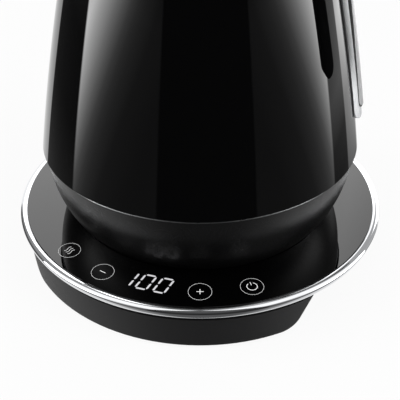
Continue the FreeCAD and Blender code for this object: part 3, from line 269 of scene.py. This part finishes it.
def studio_bands(n):
    """Brightness of the studio in the direction that a glossy ray leaves by."""
    direction = n.add("ShaderNodeTexCoord").outputs["Generated"]
    right = n.add("ShaderNodeVectorMath", operation="DOT_PRODUCT")
    right.inputs[1].default_value = (math.cos(CAMERA_TURN), math.sin(CAMERA_TURN), 0)
    ahead = n.add("ShaderNodeVectorMath", operation="DOT_PRODUCT")
    ahead.inputs[1].default_value = (math.sin(CAMERA_TURN), -math.cos(CAMERA_TURN), 0)
    upward = n.add("ShaderNodeVectorMath", operation="DOT_PRODUCT")
    upward.inputs[1].default_value = (0, 0, 1)
    for node in (right, ahead, upward):
        n.link(direction, node.inputs[0])
    degrees = 180 / math.pi
    heading = n.math("MULTIPLY", n.math("ARCTAN2", right.outputs["Value"], ahead.outputs["Value"]), degrees)
    aside = n.math("SUBTRACT", heading, STUDIO_TURN)
    rise = n.math("MULTIPLY", n.math("ARCSINE", upward.outputs["Value"]), degrees)
    slant = n.math("ADD", n.math("ABSOLUTE", aside), n.math("MULTIPLY", rise, STUDIO_LEAN))
    low_ceiling = n.by_degrees(rise, CEILING)
    blend = None
    for start, edge, stops in STUDIO:
        levels = [(angle, level / STUDIO_PEAK) for angle, level in stops]
        if stops is SIDE_LIGHT:
            bright = n.math("MULTIPLY", n.by_degrees(slant, levels), low_ceiling)
        else:
            bright = n.by_degrees(rise, levels)
        if blend is None:
            blend = bright
            continue
        past = n.by_degrees(aside, [(start - edge, 0), (start + edge, 1)])
        mix = n.add("ShaderNodeMix", data_type="FLOAT")
        n.link(past, mix.inputs[0])
        n.link(blend, mix.inputs[2])
        n.link(bright, mix.inputs[3])
        blend = mix.outputs[0]
    table_sides = n.by_degrees(n.math("ABSOLUTE", aside), TABLE_SIDES)
    table = n.math("MULTIPLY", n.by_degrees(rise, TABLE), table_sides)
    return n.math("MAXIMUM", blend, n.math("DIVIDE", table, STUDIO_PEAK))


def make_world():
    world = bpy.data.worlds.new("studio")
    scene.world = world
    world.use_nodes = True
    n = Nodes(world.node_tree)
    studio = n.add("ShaderNodeBackground")
    studio.inputs["Strength"].default_value = STUDIO_PEAK
    n.link(studio_bands(n), studio.inputs["Color"])
    soft = n.add("ShaderNodeBackground")
    soft.inputs["Color"].default_value = (1, 1, 1, 1)
    soft.inputs["Strength"].default_value = SOFT_LIGHT
    white = n.add("ShaderNodeBackground")
    white.inputs["Color"].default_value = (1, 1, 1, 1)
    path = n.add("ShaderNodeLightPath")
    gloss = n.add("ShaderNodeMixShader")
    n.link(path.outputs["Is Glossy Ray"], gloss.inputs[0])
    n.link(soft.outputs[0], gloss.inputs[1])
    n.link(studio.outputs[0], gloss.inputs[2])
    seen = n.add("ShaderNodeMixShader")
    clear = n.math("MAXIMUM", path.outputs["Is Camera Ray"], path.outputs["Is Transmission Ray"])
    n.link(clear, seen.inputs[0])
    n.link(gloss.outputs[0], seen.inputs[1])
    n.link(white.outputs[0], seen.inputs[2])
    out = n.add("ShaderNodeOutputWorld")
    n.link(seen.outputs[0], out.inputs["Surface"])


def make_floor():
    mesh = bpy.data.meshes.new("floor")
    size = FLOOR_HALF
    corners = [(-size, -size, 0), (size, -size, 0), (size, size, 0), (-size, size, 0)]
    mesh.from_pydata(corners, [], [(0, 1, 2, 3)])
    floor = bpy.data.objects.new("floor", mesh)
    scene.collection.objects.link(floor)
    material = bpy.data.materials.new("floor")
    material.use_nodes = True
    n = Nodes(material.node_tree)
    paint = n.add("ShaderNodeBsdfDiffuse")
    paint.inputs["Color"].default_value = (FLOOR_PAINT, FLOOR_PAINT, FLOOR_PAINT, 1)
    glow = n.add("ShaderNodeEmission")
    path = n.add("ShaderNodeLightPath")
    share = n.math("MULTIPLY", path.outputs["Is Camera Ray"], FLOOR_GLOW)
    mix = n.add("ShaderNodeMixShader")
    n.link(share, mix.inputs[0])
    n.link(paint.outputs[0], mix.inputs[1])
    n.link(glow.outputs[0], mix.inputs[2])
    out = n.add("ShaderNodeOutputMaterial")
    n.link(mix.outputs[0], out.inputs["Surface"])
    mesh.materials.append(material)
    floor.visible_glossy = False


def make_lamp(name, place, power):
    data = bpy.data.lights.new(name, "AREA")
    data.shape = "DISK"
    data.size = LAMP_WIDTH
    data.energy = power
    lamp = bpy.data.objects.new(name, data)
    scene.collection.objects.link(lamp)
    lamp.location = place
    lamp.rotation_mode = "QUATERNION"
    lamp.rotation_quaternion = (CAMERA_AIM - Vector(place)).to_track_quat("-Z", "Y")
    lamp.visible_glossy = False


# Materials

def principled(name, colour, roughness, metallic=0.0):
    material = bpy.data.materials.new(name)
    material.use_nodes = True
    n = Nodes(material.node_tree)
    shader = n.add("ShaderNodeBsdfPrincipled")
    shader.inputs["Base Color"].default_value = (*colour, 1)
    shader.inputs["Roughness"].default_value = roughness
    shader.inputs["Metallic"].default_value = metallic
    out = n.add("ShaderNodeOutputMaterial")
    n.link(shader.outputs[0], out.inputs["Surface"])
    return material, n, shader


def add_grain(n, shader, scale, depth, roughness, spread, stretch):
    """Fine noise that shows as bump and as a little change in roughness."""
    place = n.add("ShaderNodeTexCoord").outputs["Object"]
    mapping = n.add("ShaderNodeMapping")
    mapping.inputs["Scale"].default_value = stretch
    n.link(place, mapping.inputs["Vector"])
    noise = n.add("ShaderNodeTexNoise")
    noise.inputs["Scale"].default_value = scale
    noise.inputs["Detail"].default_value = GRAIN_DETAIL
    n.link(mapping.outputs[0], noise.inputs["Vector"])
    ends = (max(roughness - spread, 0.0), roughness + spread)
    n.link(n.ramp(noise.outputs["Fac"], list(zip(GRAIN_SPAN, ends))), shader.inputs["Roughness"])
    if depth:
        bump = n.add("ShaderNodeBump")
        bump.inputs["Distance"].default_value = depth
        n.link(noise.outputs["Fac"], bump.inputs["Height"])
        n.link(bump.outputs[0], shader.inputs["Normal"])


def make_finish(name, colour, roughness, spread, scale, metallic=0.0, depth=0.0, stretch=(1, 1, 1),
                sockets=None):
    """Material with grain, and with any other values that are the same all over it."""
    material, n, shader = principled(name, colour, roughness, metallic)
    for socket, value in (sockets or {}).items():
        shader.inputs[socket].default_value = value
    add_grain(n, shader, scale, depth, roughness, spread, stretch)
    return material


def dress_nodes(materials):
    """Every CAD node takes the material of its slot, or a finish of its own within it."""
    for part in frame["record"]["subparts"]:
        mesh = nodes[part["node"]].data
        mesh.materials.clear()
        finish = OWN_FINISH.get(part["node"], part["material_slot"])
        mesh.materials.append(materials[finish])


# Turned pieces, finer than the CAD meshes

def add_piece(name, bm, body, material, place=Matrix()):
    bmesh.ops.recalc_face_normals(bm, faces=bm.faces)
    mesh = bpy.data.meshes.new(name)
    bm.to_mesh(mesh)
    bm.free()
    mesh.transform(place)
    mesh.materials.append(material)
    piece = bpy.data.objects.new(name, mesh)
    scene.collection.objects.link(piece)
    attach(piece, body)
    return piece


def lathe(name, profile, body, material):
    """Turns a closed outline of (radius, height) points about the kettle's axis."""
    bm = bmesh.new()
    rings = []
    for step in range(LATHE_STEPS):
        turn = 2 * math.pi * step / LATHE_STEPS
        rings.append([bm.verts.new((r * math.cos(turn), r * math.sin(turn), z)) for r, z in profile])
    count = len(profile)
    for step in range(LATHE_STEPS):
        near, far = rings[step], rings[(step + 1) % LATHE_STEPS]
        for k in range(count):
            bm.faces.new((near[k], far[k], far[(k + 1) % count], near[(k + 1) % count]))
    piece = add_piece(name, bm, body, material)
    piece.data.shade_smooth()
    piece.data.set_sharp_from_angle(angle=SHARP_EDGE)
    return piece


def quarter(centre, width, height, start):
    """Quarter of an ellipse, clockwise from a start angle in degrees."""
    angles = [math.radians(start - 90 * k / ARC_STEPS) for k in range(ARC_STEPS + 1)]
    return [(centre[0] + width * math.cos(a), centre[1] + height * math.sin(a)) for a in angles]


def bend(start, towards, end, rows):
    """Curve from start to end that is drawn towards a point beside it."""
    points = []
    for row in range(rows + 1):
        share = row / rows
        back = 1 - share
        pull = (back * back, 2 * back * share, share * share)
        points.append([pull[0] * a + pull[1] * b + pull[2] * c for a, b, c in zip(start, towards, end)])
    return points


def make_ring(material):
    low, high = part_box("chrome_ring")
    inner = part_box("touch_plate")[1].x + FACE_GAP
    crest, bottom, outer = high.z, low.z, high.x
    lip = inner + RING_LIP
    foot = inner + RING_FOOT
    widest = crest - RING_WIDEST * (crest - bottom)
    profile = [(inner, bottom), (inner, crest - RING_PROUD - RING_SLOPE), (lip, crest - RING_PROUD)]
    profile += quarter((lip, widest), outer - lip, crest - widest, 90)
    profile += quarter((foot, widest), outer - foot, widest - bottom, 0)[1:]
    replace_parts(lathe("bright_ring", profile, "base", material), "chrome_ring")


def make_plinth(material):
    """Skirt that draws in to its foot on one curve, with the seat for its cover."""
    low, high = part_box("plinth")
    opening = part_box("plinth_cover")[1].y + FACE_GAP
    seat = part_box("plinth_cover")[1].z
    outside = bend((high.x, high.z), PLINTH_WAIST, (PLINTH_FOOT, low.z), PLINTH_ROWS)
    inside = [(r - PLINTH_WALL, z) for r, z in outside if z > seat + PLINTH_WALL]
    profile = outside + [(opening, low.z), (opening, seat)] + inside[::-1]
    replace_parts(lathe("plinth_skirt", profile, "kettle", material), "plinth")


def make_trim(material):
    """Thin bright line between plinth and body, with a round edge, on the spigot that joins them."""
    low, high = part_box("trim_ring")
    flange_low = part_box("plinth")[1].z
    half = TRIM_THICK / 2
    spigot_outer = high.x - TRIM_FLANGE
    spigot_inner = spigot_outer - TRIM_WALL
    bead = (high.x - half, flange_low + half)
    profile = [(spigot_inner, low.z), (spigot_inner, high.z), (spigot_outer, high.z),
               (spigot_outer, flange_low + TRIM_THICK)]
    profile += quarter(bead, half, half, 90) + quarter(bead, half, half, 0)[1:]
    profile += [(spigot_outer, flange_low), (spigot_outer, low.z)]
    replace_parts(lathe("bright_trim", profile, "kettle", material), "trim_ring")


def body_wall(height, out):
    """Point on the body's turned wall at a height, or a distance outside it."""
    low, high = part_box("body_shell")
    share = (height - low.z) / (high.z - low.z)
    radius = high.y + share * (BODY_TOP_RADIUS - high.y) + 4 * BODY_BELLY * share * (1 - share)
    return (radius + out, height)


def body_heights(low, high):
    return [low + (high - low) * k / BODY_ROWS for k in range(BODY_ROWS + 1)]


def make_lacquer(material):
    """Skin of gloss over the body's turned wall."""
    low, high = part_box("body_shell")
    heights = body_heights(low.z, high.z)
    profile = [body_wall(z, LACQUER) for z in heights]
    profile += [body_wall(z, LACQUER / 3) for z in reversed(heights)]
    lathe("body_lacquer", profile, "kettle", material)


def make_lining(material):
    """Bare metal inside the vessel, from the heater plate to the collar, open at the spout's strainer."""
    heights = body_heights(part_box("heater_plate")[1].z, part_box("rim_collar")[0].z)
    profile = [body_wall(z, -BODY_WALL - LINING) for z in heights]
    profile += [body_wall(z, -BODY_WALL - LINING / 2) for z in reversed(heights)]
    low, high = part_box("spout_strainer")
    middle = (low + high) / 2
    opening = (high.y - low.y) / 2 - STRAINER_SEAT
    piece = lathe("vessel_lining", profile, "kettle", material)
    bm = bmesh.new()
    bm.from_mesh(piece.data)
    behind = []
    for face in bm.faces:
        place = face.calc_center_median()
        if place.x < 0 and math.hypot(place.y - middle.y, place.z - middle.z) < opening:
            behind.append(face)
    bmesh.ops.delete(bm, geom=behind, context="FACES")
    bm.to_mesh(piece.data)
    bm.free()


def make_collar(material):
    """Bright collar that holds the lid, with a round upper edge and a spigot inside the body."""
    low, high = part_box("rim_collar")
    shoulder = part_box("body_shell")[1].z
    spigot = BODY_TOP_RADIUS - COLLAR_STEP
    inner = spigot - COLLAR_WALL
    round_edge = (high.x - COLLAR_EDGE, high.z - COLLAR_EDGE)
    profile = [(inner, low.z), (inner, high.z)]
    profile += quarter(round_edge, COLLAR_EDGE, COLLAR_EDGE, 90)
    profile += [(high.x, shoulder), (spigot, shoulder), (spigot, low.z)]
    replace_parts(lathe("bright_collar", profile, "kettle", material), "rim_collar")


def make_lid(material):
    """Domed cap with a softened edge, hollow under its crown."""
    low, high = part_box("lid_cover")
    dome_radius = (high.x ** 2 + LID_RISE ** 2) / (2 * LID_RISE)

    def dome(radius):
        return high.z - dome_radius + math.sqrt(dome_radius ** 2 - radius ** 2)

    reach = high.x - LID_EDGE
    radii = [LID_HOLE + (reach - LID_HOLE) * k / LID_ROWS for k in range(LID_ROWS + 1)]
    rim = (reach, dome(reach) - LID_EDGE)
    profile = [(r, dome(r)) for r in radii]
    profile += quarter(rim, LID_EDGE, LID_EDGE, 90)[1:]
    profile += [(high.x, low.z), (reach - LID_WALL, low.z)]
    profile += [(r, dome(r) - LID_WALL) for r in reversed(radii) if r < reach - LID_WALL]
    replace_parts(lathe("lid_dome", profile, "lid", material), "lid_cover")


def make_knob(material):
    """Knob that flares from its stem, with a softened brow and a crowned top, bored for its screw."""
    low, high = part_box("lid_knob")
    brow = high.z - KNOB_CROWN
    neck = low.z + KNOB_FLARE
    reach = high.x - KNOB_EDGE

    def crown(radius):
        return brow + KNOB_CROWN * (1 - (radius / high.x) ** 2)

    under_brow = (reach, brow - KNOB_EDGE)
    profile = [(KNOB_BORE, low.z)]
    pull = (KNOB_STEM + KNOB_PULL[0], low.z + KNOB_PULL[1])
    profile += bend((KNOB_STEM, low.z), pull, (high.x, neck), ARC_STEPS)
    profile += quarter(under_brow, KNOB_EDGE, crown(reach) - under_brow[1], 90)[::-1]
    radii = [reach + (KNOB_CENTRE - reach) * k / ARC_STEPS for k in range(1, ARC_STEPS + 1)]
    profile += [(r, crown(r)) for r in radii]
    profile += [(KNOB_CENTRE, low.z + KNOB_BORE_DEPTH), (KNOB_BORE, low.z + KNOB_BORE_DEPTH)]
    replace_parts(lathe("turned_knob", profile, "lid", material), "lid_knob")


def make_bead(material):
    """Dark bead round the gauge's window, where it is set in its frame."""
    low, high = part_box("gauge_window")
    middle = (low + high) / 2
    wider = Matrix.Diagonal((1, 1 + 2 * BEAD / (high.y - low.y), 1 + 2 * BEAD / (high.z - low.z), 1))
    sunk = Matrix.Translation(middle - Vector((BEAD_SINK, 0, 0)))
    bm = bmesh.new()
    bm.from_mesh(nodes["gauge_window"].data)
    add_piece("gauge_bead", bm, "kettle", material, sunk @ wider @ Matrix.Translation(-middle))


# Signs and digits on the touch plate

def on_plate(angle):
    """Frame on the plate at an angle from the display: across, towards the middle, and out of the plate."""
    turn = BASE_TURN + angle
    outward = Vector((math.sin(turn), -math.cos(turn), 0))
    across = Vector((math.cos(turn), math.sin(turn), 0))
    centre = outward * CONTROL_CIRCLE + Vector((0, 0, PLATE_TOP + SIGN_LIFT))
    return Matrix((
        (across.x, -outward.x, 0, centre.x),
        (across.y, -outward.y, 0, centre.y),
        (0, 0, 1, centre.z),
        (0, 0, 0, 1),
    ))


def stroke(bm, points, width, closed=False):
    """Flat ribbon along points in the XY plane."""
    count = len(points)
    pairs = []
    for index, point in enumerate(points):
        before = points[index - 1] if index or closed else point
        after = points[(index + 1) % count] if index + 1 < count or closed else point
        along = (Vector(after) - Vector(before)).normalized()
        side = Vector((-along.y, along.x)) * (width / 2)
        left = bm.verts.new((point[0] + side.x, point[1] + side.y, 0))
        right = bm.verts.new((point[0] - side.x, point[1] - side.y, 0))
        pairs.append((left, right))
    last = count if closed else count - 1
    for index in range(last):
        a, b = pairs[index], pairs[(index + 1) % count]
        bm.faces.new((a[0], a[1], b[1], b[0]))


def arc_points(radius, start, end, steps):
    angles = [math.radians(start + (end - start) * k / steps) for k in range(steps + 1)]
    return [(radius * math.cos(a), radius * math.sin(a)) for a in angles]


def thicken(bm):
    """Gives the flat strokes a thin body, so that they are closed."""
    faces = bm.faces[:]
    made = bmesh.ops.extrude_face_region(bm, geom=faces)
    rise = [v for v in made["geom"] if isinstance(v, bmesh.types.BMVert)]
    bmesh.ops.translate(bm, verts=rise, vec=(0, 0, SIGN_LIFT))


def sign_strokes(kind):
    """Lines inside a touch sign's ring, as lists of points."""
    size = SIGN_RADIUS * SIGN_MARK
    bar = BAR_HALF * size
    if kind == "plus":
        return [[(-bar, 0), (bar, 0)], [(0, -bar), (0, bar)]]
    if kind == "minus":
        return [[(-bar, 0), (bar, 0)]]
    if kind == "power":
        bow = arc_points(BOW_RADIUS * size, *BOW_ENDS, BOW_STEPS)
        return [bow, [(0, TICK_LOW * size), (0, TICK_HIGH * size)]]
    waves = []
    shares = [2 * k / WAVE_STEPS - 1 for k in range(WAVE_STEPS + 1)]
    for column in (-WAVE_STEP, 0, WAVE_STEP):
        wave = [(column - WAVE_SWING * math.sin(math.pi * share), WAVE_HALF * share) for share in shares]
        waves.append([(x * size, y * size) for x, y in wave])
    return waves


def make_signs(material):
    for step, kind in ((-2, "warm"), (-1, "minus"), (1, "plus"), (2, "power")):
        bm = bmesh.new()
        circle = arc_points(SIGN_RADIUS, 0, 360, SIGN_STEPS)[:-1]
        stroke(bm, circle, SIGN_LINE, closed=True)
        for points in sign_strokes(kind):
            stroke(bm, points, WAVE_LINE if kind == "warm" else MARK_LINE)
        thicken(bm)
        add_piece("sign_" + kind, bm, "base", material, on_plate(step * CONTROL_STEP))


def segment(bm, start, end, slant):
    """One bar of a lit digit, with pointed ends."""
    a, b = Vector(start), Vector(end)
    along = (b - a).normalized()
    side = Vector((-along.y, along.x)) * (DIGIT_LINE / 2)
    tip = along * (DIGIT_LINE / 2)
    gap = along * DIGIT_GAP
    a, b = a + gap, b - gap
    corners = [a, a + tip + side, b - tip + side, b, b - tip - side, a + tip - side]
    bm.faces.new([bm.verts.new((c.x + slant * c.y, c.y, 0)) for c in corners])


def make_digits(material):
    """Lit number on the display, in slanted seven-bar digits."""
    half_w = (DIGIT_WIDTH - DIGIT_LINE) / 2
    half_h = (DIGIT_HEIGHT - DIGIT_LINE) / 2
    top_left, top_right = (-half_w, half_h), (half_w, half_h)
    left, right = (-half_w, 0), (half_w, 0)
    low_left, low_right = (-half_w, -half_h), (half_w, -half_h)
    zero = [(top_left, top_right), (top_left, left), (left, low_left), (top_right, right),
            (right, low_right), (low_left, low_right)]
    one = [(top_right, right), (right, low_right)]
    for index, bars in enumerate((one, zero, zero)):
        bm = bmesh.new()
        for start, end in bars:
            segment(bm, start, end, DIGIT_SLANT)
        thicken(bm)
        shift = Matrix.Translation(DIGIT_SHIFT + Vector(((index - 1) * DIGIT_STEP, 0, 0)))
        add_piece("digit_" + str(index + 1), bm, "base", material, on_plate(0) @ shift)


make_camera()
make_world()
make_floor()
for lamp_name, (lamp_place, lamp_power) in LAMPS.items():
    make_lamp(lamp_name, lamp_place, lamp_power)
materials = {name: make_finish(name, **finish) for name, finish in FINISHES.items()}
dress_nodes(materials)
make_ring(materials["chrome"])
make_plinth(materials["satin_black"])
make_trim(materials["trim"])
make_lacquer(materials["gloss_black"])
make_lining(materials["steel"])
make_collar(materials["chrome"])
make_lid(materials["gloss_black"])
make_knob(materials["satin_black"])
make_bead(materials["rubber"])
make_signs(materials["lit_sign"])
make_digits(materials["lit_digit"])
scene.view_settings.view_transform = "Standard"
